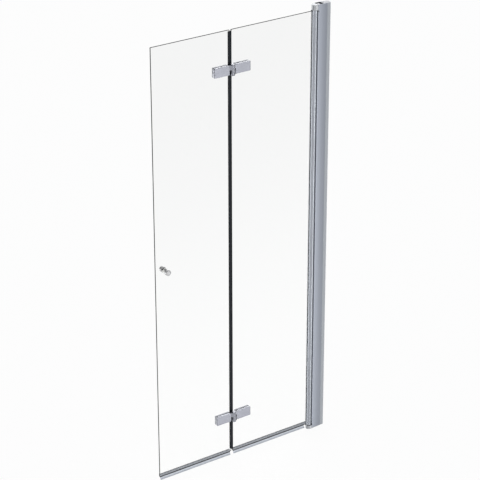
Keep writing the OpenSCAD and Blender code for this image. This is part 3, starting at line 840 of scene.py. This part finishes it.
@dataclass
class WallFrame:
    """The wall channel, the adjust profile over it, and the two end blocks of the pivot."""

    ear_rim: float = 0.9 * MM
    ear_gap: float = 0.2 * MM
    block_rim: float = 0.5 * MM
    bush_depth: float = 12 * MM
    neck_reach: float = 8.8 * MM
    neck_half: float = 12.5 * MM
    neck_overlap: float = 0.5 * MM
    tongue_reach: float = 18.5 * MM
    tongue_half: float = 13.3 * MM
    seat_wall_r: float = 14.2 * MM
    adjust_wall: float = 1.8 * MM
    foot_plate: float = 4 * MM
    foot_inset: float = 0.4 * MM
    foot_taper: float = 2.9 * MM
    foot_corner: float = 1 * MM
    foot_tip: float = 0.5 * MM
    channel_gap: float = 0.3 * MM
    notch_gap: float = 3 * MM
    top_recess: float = 3 * MM
    plug_inset: float = 1.8 * MM
    cap_corner: float = 0.8 * MM
    cap_rim: float = 0.4 * MM

    def __post_init__(self) -> None:
        """Reads the places of the frame's nodes."""
        self.profile = NodeBox("adjust_profile")
        self.channel = NodeBox("wall_channel")
        self.top = NodeBox("top_pivot_block")
        self.bottom = NodeBox("bottom_pivot_block")
        self.cap = NodeBox("channel_top_cap")
        self.axis_x = NodeBox("top_pivot_pin").centre.x

    def build(self) -> None:
        """Builds the frame's own pieces."""
        self.end_block("top_end_block", self.top, NodeBox("top_pivot_bush"), True)
        self.end_block("bottom_end_block", self.bottom, NodeBox("bottom_pivot_bush"), False)
        self.channel_cap()

    def ear(self, piece: Piece, low: float, high: float) -> None:
        """Adds an ear: round about the pivot axis and square where it meets the profile.

        Args:
            piece: The piece to add it to.
            low: Its lowest Z.
            high: Its highest Z.
        """
        radius = self.axis_x - self.top.low.x
        edge = self.profile.low.x - self.ear_gap
        outline = piece.outline(self.axis_x, radius).arc(self.axis_x, 0, math.pi)
        outline.to(edge, -radius, self.ear_rim).to(edge, radius, self.ear_rim).close()
        piece.soften(piece.raised(low, high), self.ear_rim)

    def tongue(self, piece: Piece, low: float, high: float) -> None:
        """Adds the tongue behind the lips, hollowed round the seat.

        Args:
            piece: The piece to add it to.
            low: Its lowest Z.
            high: Its highest Z.
        """
        left = self.profile.low.x + self.adjust_wall
        right = self.profile.low.x + self.tongue_reach
        half = self.tongue_half
        reach = math.sqrt(self.seat_wall_r ** 2 - (left - self.axis_x) ** 2)
        start = math.atan2(-reach, left - self.axis_x)
        outline = piece.outline(left, -half).to(left, -reach)
        outline.arc(self.axis_x, 0, -2 * start).to(left, half)
        outline.to(right, half, self.block_rim).to(right, -half, self.block_rim).close()
        piece.raised(low, high)

    def end_block(self, name: str, room: NodeBox, bush: NodeBox, on_top: bool) -> None:
        """Builds one end block.

        Args:
            name: The piece's name.
            room: The room of its node.
            bush: The room of its bush.
            on_top: Whether it is the top block.
        """
        piece = Piece(name)
        edge = self.profile.low.x
        flange = bush.size.z - self.bush_depth
        if on_top:
            ear_low, ear_high = bush.low.z + flange, room.high.z
            inner_low, inner_high = room.low.z, room.high.z - self.top_recess
        else:
            ear_low, ear_high = room.low.z, bush.high.z - flange
            inner_low, inner_high = self.foot_plate, room.high.z
        self.ear(piece, ear_low, ear_high)
        piece.oblong((edge - self.neck_overlap, -self.neck_half), (edge + self.neck_reach, self.neck_half))
        piece.raised(max(inner_low, ear_low), min(inner_high, ear_high))
        self.tongue(piece, inner_low, inner_high)
        if not on_top:
            self.foot(piece)
        piece.done(Body.WALL_FRAME, [CASTING], [room.node])

    def foot(self, piece: Piece) -> None:
        """Adds the foot plate under the adjust profile, notched round the wall channel.

        Args:
            piece: The piece to add it to.
        """
        half = self.profile.size.y / 2
        wide, slim = half - self.foot_inset, half - self.foot_taper
        side = self.channel.size.y / 2 + self.channel_gap
        left, right = self.profile.low.x - self.ear_gap, self.profile.high.x
        notch = self.channel.low.x - self.notch_gap
        outline = piece.outline(left, -wide, self.foot_corner).to(right, -slim, self.foot_tip)
        outline.to(right, -side).to(notch, -side).to(notch, side).to(right, side)
        outline.to(right, slim, self.foot_tip).to(left, wide, self.foot_corner).close()
        piece.raised(0, self.foot_plate)

    def channel_cap(self) -> None:
        """Builds the cap on the wall channel's top, with its plug."""
        piece = Piece("channel_cap")
        low, high = self.cap.low, self.cap.high
        plate = high.z - self.top_recess
        for inset, foot, top in ((0, plate, high.z), (self.plug_inset, low.z, plate)):
            piece.oblong((low.x + inset, low.y + inset), (high.x - inset, high.y - inset), self.cap_corner)
            piece.soften(piece.raised(foot, top), self.cap_rim, 2)
        piece.done(Body.WALL_FRAME, [GREY_CAP], [self.cap.node])


# ---------- panes and seals ----------


@dataclass
class Pane:
    """A pane of toughened glass with arrised edges and drilled holes."""

    node: str
    name: str
    body: Body
    holes: list[Pair]
    hole_r: float = 7 * MM
    arris: float = 0.7 * MM
    skin: float = 0.02 * MM
    face_slope: float = 0.99
    crease: float = 20.0

    def build(self) -> None:
        """Builds the pane, a hair thinner than its room so that its pads don't touch it."""
        room = NodeBox(self.node)
        piece = Piece(self.name)
        piece.oblong((room.low.x, room.low.z), (room.high.x, room.high.z))
        for x, z in self.holes:
            piece.ring(x, z, self.hole_r)
        half = room.size.y / 2 - self.skin
        piece.move(piece.raised(-half, half), STAND_UP)
        rim = [v for v in piece.bm.verts if min(v.co.x - room.low.x, room.high.x - v.co.x,
                                                v.co.z - room.low.z, room.high.z - v.co.z) < SKIN]
        piece.soften(rim, self.arris, 1)
        for face in piece.bm.faces:
            face.normal_update()
            # The edge faces get the near-black painted shade, the faces the clear glass.
            face.material_index = 0 if abs(face.normal.y) > self.face_slope else 1
        made = piece.done(self.body, [GLASS, GLASS_EDGE], [self.node], self.crease)
        made.visible_shadow = False


@dataclass
class DripSeal:
    """A drip seal: a clip on the foot of the glass and a fin that curls down to the front."""

    node: str
    name: str
    body: Body
    glass_foot: float
    fin_stop: float
    wall: float = 1.2 * MM
    web: float = 1.5 * MM
    fin_r: float = 14 * MM
    fin_arc: float = math.radians(60)
    fin_root: float = 0.2 * MM
    tip: float = 0.4 * MM

    def build(self) -> None:
        """Builds the seal from two sections that run along the glass."""
        room = NodeBox(self.node)
        piece = Piece(self.name)
        outer = GLASS_HALF + self.wall
        inner = GLASS_HALF + SKIN
        foot = self.glass_foot - self.web
        outline = piece.outline(-outer, foot, self.tip).to(outer, foot, self.tip)
        outline.to(outer, room.high.z, self.tip).to(inner, room.high.z, self.tip)
        outline.to(inner, self.glass_foot).to(-inner, self.glass_foot)
        outline.to(-inner, room.high.z, self.tip).to(-outer, room.high.z, self.tip).close()
        piece.move(piece.raised(room.low.x, room.high.x), RUN_ALONG)
        centre = -GLASS_HALF - self.fin_r + self.wall
        near, far = self.fin_r - self.wall / 2, self.fin_r + self.wall / 2
        root = foot + self.fin_root
        outline = piece.outline(centre + near, root).to(centre + near, foot)
        outline.arc(centre, foot, -self.fin_arc)
        end = Vector((math.cos(self.fin_arc), -math.sin(self.fin_arc)))
        outline.to(centre + far * end.x, foot + far * end.y, self.tip)
        outline.arc(centre, foot, self.fin_arc).to(centre + far, root).close()
        piece.move(piece.raised(room.low.x, room.high.x - self.fin_stop), RUN_ALONG)
        piece.done(self.body, [CLEAR_SEAL], [self.node])


@dataclass
class SeamSeal:
    """The dark seal in the seam: two legs on the outer pane and a hollow round bulb."""

    node: str = "seam_seal"
    leg: float = 6.5 * MM
    wall: float = 0.8 * MM
    tip: float = 0.35 * MM
    slant: float = -0.55

    def build(self) -> None:
        """Builds the seal, with its foot cut on a slant so that the bulb reaches lower."""
        room = NodeBox(self.node)
        piece = Piece("seam_strip")
        outer, inner = room.size.y / 2, GLASS_HALF + SKIN
        pane_edge = room.low.x + self.leg
        bulb_x = room.high.x - outer
        outline = piece.outline(room.low.x, -outer, self.tip).to(bulb_x, -outer)
        outline.arc(bulb_x, 0, math.pi).to(room.low.x, outer, self.tip)
        outline.to(room.low.x, inner, self.tip).to(pane_edge, inner).to(pane_edge, -inner)
        outline.to(room.low.x, -inner, self.tip).close()
        piece.ring(bulb_x, 0, outer - self.wall)
        verts = piece.raised(room.low.z, room.high.z)
        foot = [v for v in verts if v.co.z < room.centre.z]
        lean = Matrix.Identity(4)
        lean[2][0] = self.slant
        lean[2][3] = -self.slant * room.high.x
        piece.move(foot, lean)
        piece.done(Body.OUTER_LEAF, [DARK_SEAL], [self.node])


@dataclass
class Gasket:
    """One glazing gasket, which lies on the glass in the grip. A lip may cover the jaw's end."""

    node: str
    name: str
    side: int
    finish: Finish
    lip: bool
    reach: float = 2.2 * MM
    spread: float = 0.6 * MM
    tip: float = 0.5 * MM

    def build(self) -> None:
        """Builds the gasket along the pivot profile."""
        room = NodeBox(self.node)
        piece = Piece(self.name)
        near = GLASS_HALF + SKIN
        far = room.size.y + GLASS_HALF
        slot = far - self.spread
        jaw = room.low.x + self.reach
        outline = piece.outline(room.high.x, near).to(room.high.x, slot).to(jaw, slot)
        if self.lip:
            outline.to(jaw, far).to(room.low.x, far, self.tip).to(room.low.x, near, self.tip)
        else:
            outline.to(jaw, near)
        outline.close()
        verts = piece.raised(room.low.z, room.high.z)
        if self.side < 0:
            piece.move(verts, FLIP_Y)
        piece.done(Body.INNER_LEAF, [self.finish], [self.node])


# ---------- hinges ----------


@dataclass
class HingeLeaf:
    """One leaf of a knuckle hinge: a front plate with its knuckle, and a back plate."""

    prefix: str
    body: Body
    side: int
    pin: NodeBox
    front_glass: float = -4 * MM
    front_face: float = -12 * MM
    corner_r: float = 5 * MM
    roll: float = 3 * MM
    rim: float = 0.7 * MM
    arm_root: float = 2 * MM
    arm_inset: float = 0.5 * MM
    barrel_skin: float = 0.02 * MM
    knuckle_rim: float = 0.6 * MM
    washer_half: float = 0.5 * MM
    head_r: float = 4.8 * MM
    hole_margin: float = 1.02

    ROLL_STEPS = 9

    def __post_init__(self) -> None:
        """Reads the places of the leaf's nodes."""
        self.leaf = NodeBox(f"{self.prefix}_hinge_leaf")
        self.back = NodeBox(f"{self.prefix}_back_plate")
        self.screws = NodeBox(f"{self.prefix}_hinge_screws")

    def build(self) -> None:
        """Builds the front plate with its arm and knuckle, and the countersunk back plate."""
        front = Piece(f"{self.prefix}_front_plate")
        self.plate(front, self.front_glass, self.front_face, False)
        self.knuckle(front)
        front.done(self.body, [CHROME], [self.leaf.node])
        rear = Piece(f"{self.prefix}_rear_plate")
        self.plate(rear, self.back.low.y, self.back.high.y, True)
        rear.done(self.body, [CHROME], [self.back.node])

    def plate(self, piece: Piece, y_glass: float, y_face: float, holes: bool) -> None:
        """Adds a plate with round corners, a soft rim and a far end rolled off.

        Args:
            piece: The piece to add it to.
            y_glass: The Y of its face on the glass.
            y_face: The Y of its outer face.
            holes: Whether the screws pass through it.
        """
        low, high = self.back.low, self.back.high
        piece.oblong((low.x, low.z), (high.x, high.z), self.corner_r)
        if holes:
            for x, z in self.screw_places():
                piece.ring(x, z, self.head_r)
        verts = piece.raised(*sorted((-y_glass, -y_face)))
        piece.move(verts, STAND_UP)
        middle = (y_glass + y_face) / 2
        outer = [v for v in verts if (v.co.y > middle) == (y_face > y_glass)]
        piece.soften([v for v in outer if not (holes and self.in_hole(v))], self.rim)
        self.roll_end(piece, y_glass, y_face)

    def screw_places(self) -> list[Pair]:
        """The X and Z of the leaf's two screws."""
        left, right = self.screws.low.x + self.head_r, self.screws.high.x - self.head_r
        return [(x, self.screws.centre.z) for x in (left, right)]

    def in_hole(self, vert: bmesh.types.BMVert) -> bool:
        """Whether a vertex lies on a screw hole."""
        reach = self.head_r * self.hole_margin
        return any(math.hypot(vert.co.x - x, vert.co.z - z) < reach for x, z in self.screw_places())

    def roll_end(self, piece: Piece, y_glass: float, y_face: float) -> None:
        """Rolls the plate's far end off towards the glass.

        Args:
            piece: The piece that holds the plate.
            y_glass: The Y of its face on the glass.
            y_face: The Y of its outer face.
        """
        bm = piece.bm
        far = self.back.high.x if self.side > 0 else self.back.low.x
        start = far - self.side * self.roll
        for step in range(self.ROLL_STEPS):
            turn = QUARTER_TURN * step / self.ROLL_STEPS
            bmesh.ops.bisect_plane(bm, geom=bm.verts[:] + bm.edges[:] + bm.faces[:], dist=CUT_WITHIN,
                                   plane_co=(start + self.side * self.roll * math.sin(turn), 0, 0),
                                   plane_no=Axis.X.value)
        height = abs(y_face - y_glass)
        for vert in bm.verts:
            past = min(1.0, max(0.0, self.side * (vert.co.x - start) / self.roll))
            share = (height - self.roll + self.roll * math.sqrt(1 - past ** 2)) / height
            vert.co.y = y_glass + (vert.co.y - y_glass) * share

    def knuckle(self, piece: Piece) -> None:
        """Adds the arm and the knuckle round the hinge pin to the front plate.

        Args:
            piece: The piece that holds the front plate.
        """
        centre = self.pin.centre
        radius = abs(self.leaf.low.y - centre.y)
        near = self.back.low.x if self.side > 0 else -self.back.high.x
        axis = Vector((self.side * centre.x, centre.y))
        root = near + self.arm_root
        points = (Vector((root, self.front_face)), Vector((near, self.front_glass)))
        touches = []
        for point, way in zip(points, (-1, 1)):
            away = point - axis
            touches.append(math.atan2(away.y, away.x) + way * math.acos(radius / away.length))
        start, end = touches
        lower = self.leaf.centre.z < centre.z
        washer = centre.z - self.washer_half if lower else centre.z + self.washer_half
        edge = self.back.low.z + self.arm_inset if lower else self.back.high.z - self.arm_inset
        tip = self.leaf.low.z if lower else self.leaf.high.z
        outline = piece.outline(near, self.front_glass).to(root, self.front_glass)
        outline.to(root, self.front_face)
        outline.to(axis.x + radius * math.cos(start), axis.y + radius * math.sin(start))
        outline.arc(axis.x, axis.y, end - start - 2 * math.pi).close()
        arm = piece.raised(*sorted((washer, edge)))
        if self.side < 0:
            piece.move(arm, FLIP_X)
        barrel = piece.rod((centre.x, centre.y, (washer + tip) / 2), radius + self.barrel_skin,
                           abs(washer - tip))
        piece.soften(barrel, self.knuckle_rim)


# ---------- the knob ----------


@dataclass
class KnobHalf:
    """One half of the knob: a turned neck and head with a fine groove round its face."""

    node: str
    name: str
    side: int
    neck_r: float = 6.5 * MM
    neck_l: float = 9.5 * MM
    rim: float = 1.5 * MM
    fillet: float = 1.0 * MM
    stud_r: float = 3 * MM
    foot_rim: float = 0.3 * MM
    groove_places: tuple[float, ...] = (0.72, 0.70, 0.66, 0.64)
    groove_depth: float = 0.35 * MM
    groove_rim: float = 0.2 * MM
    groove_fillet: float = 0.15 * MM
    dish: float = 0.15 * MM

    SPIN_STEPS = 72

    def build(self) -> None:
        """Spins the half's profile round its axis."""
        room = NodeBox(self.node)
        piece = Piece(self.name)
        radius = room.size.x / 2
        near, far = sorted((abs(room.low.y), abs(room.high.y)))
        neck = near + self.neck_l
        outline = piece.outline(self.stud_r, near).to(self.neck_r, near, self.foot_rim)
        outline.to(self.neck_r, neck, self.fillet).to(radius, neck, self.rim)
        outline.to(radius, far, self.rim)
        outer, outer_floor, inner_floor, inner = (radius * share for share in self.groove_places)
        floor = far - self.groove_depth
        outline.to(outer, far, self.groove_rim).to(outer_floor, floor, self.groove_fillet)
        outline.to(inner_floor, floor, self.groove_fillet).to(inner, far, self.groove_rim)
        outline.to(0, far - self.dish).round_off()
        profile = piece.bm
        bmesh.ops.spin(profile, geom=profile.verts[:] + profile.edges[:], cent=(0, 0, 0),
                       axis=Axis.Y.value, angle=2 * math.pi, steps=self.SPIN_STEPS, use_merge=True)
        bmesh.ops.remove_doubles(profile, verts=profile.verts[:], dist=MERGE_WITHIN)
        open_edges = [e for e in profile.edges if len(e.link_faces) == 1]
        bmesh.ops.holes_fill(profile, edges=open_edges, sides=0)
        at_pane = Matrix.Translation((room.centre.x, 0, room.centre.z))
        piece.move(profile.verts[:], at_pane @ FLIP_Y if self.side < 0 else at_pane)
        end = "front" if self.side < 0 else "rear"
        look = replace(TURNED_KNOB, name=f"{TURNED_KNOB.name} {end}", centre=tuple(room.centre))
        piece.done(Body.OUTER_LEAF, [look], [self.node])


# ---------- the door ----------


@dataclass
class Door:
    """The whole door: its frame, its leaves and the finishes of its carried over nodes."""

    inner_fin_stop: float = 10 * MM

    def __post_init__(self) -> None:
        """Reads the hinges' and the knob's places."""
        sides = (("inner", Body.INNER_LEAF, 1), ("outer", Body.OUTER_LEAF, -1))
        self.leaves = [HingeLeaf(f"{level}_{half}", body, side, NodeBox(f"{level}_hinge_pin"))
                       for level in ("upper", "lower") for half, body, side in sides]
        self.knob = NodeBox("knob_stud")

    def build(self) -> None:
        """Builds every piece of the door."""
        self.dress_nodes()
        WallFrame().build()
        self.panes()
        for leaf in self.leaves:
            leaf.build()
        self.seals()
        KnobHalf("knob_front", "knob_front_half", -1).build()
        KnobHalf("knob_back", "knob_rear_half", 1).build()

    def screw_holes(self, body: Body) -> list[Pair]:
        """The X and Z of the holes that the hinges need in the pane of a body."""
        return [place for leaf in self.leaves if leaf.body is body for place in leaf.screw_places()]

    def panes(self) -> None:
        """Builds both panes."""
        knob_hole = (self.knob.centre.x, self.knob.centre.z)
        Pane("inner_glass", "inner_pane", Body.INNER_LEAF, self.screw_holes(Body.INNER_LEAF)).build()
        Pane("outer_glass", "outer_pane", Body.OUTER_LEAF,
             [*self.screw_holes(Body.OUTER_LEAF), knob_hole]).build()

    def seals(self) -> None:
        """Builds the drip seals, the seam seal and the glazing gaskets."""
        foot = NodeBox("outer_glass").low.z
        DripSeal("inner_drip_seal", "inner_drip_strip", Body.INNER_LEAF, foot,
                 self.inner_fin_stop).build()
        DripSeal("outer_drip_seal", "outer_drip_strip", Body.OUTER_LEAF, foot, 0.0).build()
        SeamSeal().build()
        Gasket("front_glazing_gasket", "front_gasket_strip", -1, GASKET, True).build()
        Gasket("back_glazing_gasket", "back_gasket_strip", 1, WEDGE, False).build()

    def dress_nodes(self) -> None:
        """Gives every carried over node its finish. What is drawn anew hides its own nodes."""
        for name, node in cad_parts.items():
            finish = NODE_FINISHES.get(name)
            for ending, look in HINGE_NODE_FINISHES.items():
                if name.endswith(ending):
                    finish = look
            for slot in node.material_slots:
                slot.material = (finish or CASTING).material()


# ---------- the studio ----------


@dataclass(frozen=True)
class SoftLight:
    """A wide distant light, placed by its direction as seen from the door."""

    name: str
    azimuth: float
    height: float
    width: float
    strength: float

    def hang(self) -> None:
        """Hangs the light, turned to the door."""
        data = bpy.data.lights.new(self.name, "SUN")
        data.energy = self.strength
        data.angle = math.radians(self.width)
        azimuth, height = math.radians(self.azimuth), math.radians(self.height)
        away = Vector((math.sin(azimuth) * math.cos(height), -math.cos(azimuth) * math.cos(height),
                       math.sin(height)))
        lamp = bpy.data.objects.new(self.name, data)
        lamp.rotation_euler = (-away).to_track_quat("-Z", "Y").to_euler()
        bpy.context.collection.objects.link(lamp)


@dataclass
class Studio:
    """A pale floor, soft light and the camera of the photograph.

    The floor lets light through from below, where a white floor would give the door its own light.
    """

    floor_half: float = 14.0
    floor_paint: Triple = (0.86, 0.86, 0.86)
    floor_glow: float = 0.95
    sky: Triple = (0.45, 0.46, 0.48)
    white: Triple = (1.0, 1.0, 1.0)
    camera_place: Triple = (-4.60306, -6.01807, 4.47532)
    camera_right: Triple = (0.82234, -0.56899, -0.00176)
    camera_ahead: Triple = (0.51431, 0.74463, -0.42546)
    lens: float = 144.52
    sensor: float = 36.0
    sight: float = 100.0
    lights: tuple[SoftLight, ...] = (
        SoftLight("floor bounce in front", 23, -22, 16, 1.2),
        SoftLight("floor bounce at the left", -37, -24, 32, 1.2),
        SoftLight("floor bounce behind", -145, -24, 22, 1.6),
        SoftLight("floor bounce at the right", 150, -20, 50, 1.2),
        SoftLight("soft light at the back", 145, 25, 50, 1.8),
    )

    def build(self) -> None:
        """Sets up the floor, the world, the lamps and the camera."""
        self.floor()
        self.world()
        for light in self.lights:
            light.hang()
        self.camera()
        bpy.context.scene.view_settings.view_transform = "Standard"

    def seen(self, graph: Graph) -> Wire:
        """1 where the camera sees a surface itself, in a mirror or through glass, else 0.

        Args:
            graph: The tree that asks.

        Returns:
            The 1 or 0, as a wire.
        """
        path = graph.node("ShaderNodeLightPath").outputs
        camera, glossy = Wire(graph, path["Is Camera Ray"]), Wire(graph, path["Is Glossy Ray"])
        through = Wire(graph, path["Is Transmission Ray"])
        return graph.maths("MAXIMUM", camera, graph.maths("MAXIMUM", glossy, through))

    def floor(self) -> None:
        """Lays the pale floor, which keeps a soft shadow."""
        mesh = bpy.data.meshes.new("studio_floor")
        bm = bmesh.new()
        bmesh.ops.create_grid(bm, x_segments=1, y_segments=1, size=self.floor_half)
        bm.to_mesh(mesh)
        bm.free()
        floor = bpy.data.objects.new("studio_floor", mesh)
        bpy.context.collection.objects.link(floor)
        floor.visible_shadow = False
        material = bpy.data.materials.new("pale floor")
        material.use_nodes = True
        graph = Graph(material.node_tree)
        paint = graph.node("ShaderNodeBsdfDiffuse", {}, {"Color": (*self.floor_paint, 1.0)})
        glow = graph.node("ShaderNodeEmission", {}, {"Color": (*self.white, 1.0), "Strength": 1.0})
        share = self.seen(graph) * self.floor_glow
        mix = graph.node("ShaderNodeMixShader", {}, {0: share, 1: paint.outputs[0], 2: glow.outputs[0]})
        graph.node("ShaderNodeOutputMaterial", {}, {"Surface": mix.outputs[0]})
        mesh.materials.append(material)

    def world(self) -> None:
        """Surrounds the door with soft light, white where it is seen."""
        world = bpy.data.worlds.new("studio")
        bpy.context.scene.world = world
        world.use_nodes = True
        graph = Graph(world.node_tree)
        colour = graph.blend(self.seen(graph), self.sky, self.white)
        glow = graph.node("ShaderNodeBackground", {}, {"Color": colour, "Strength": 1.0})
        graph.node("ShaderNodeOutputWorld", {}, {"Surface": glow.outputs[0]})

    def camera(self) -> None:
        """Puts the camera where the photograph was taken from."""
        data = bpy.data.cameras.new("photo_camera")
        data.sensor_width = self.sensor
        data.lens = self.lens
        data.clip_end = self.sight
        right, ahead = Vector(self.camera_right), Vector(self.camera_ahead)
        turn = Matrix((right, right.cross(ahead), -ahead)).transposed().to_4x4()
        camera = bpy.data.objects.new("photo_camera", data)
        camera.matrix_world = Matrix.Translation(self.camera_place) @ turn
        bpy.context.collection.objects.link(camera)
        bpy.context.scene.camera = camera


def main() -> None:
    """Builds the door and its studio."""
    logging.basicConfig(level=logging.INFO)
    Door().build()
    Studio().build()


if __name__ == "__main__":
    main()
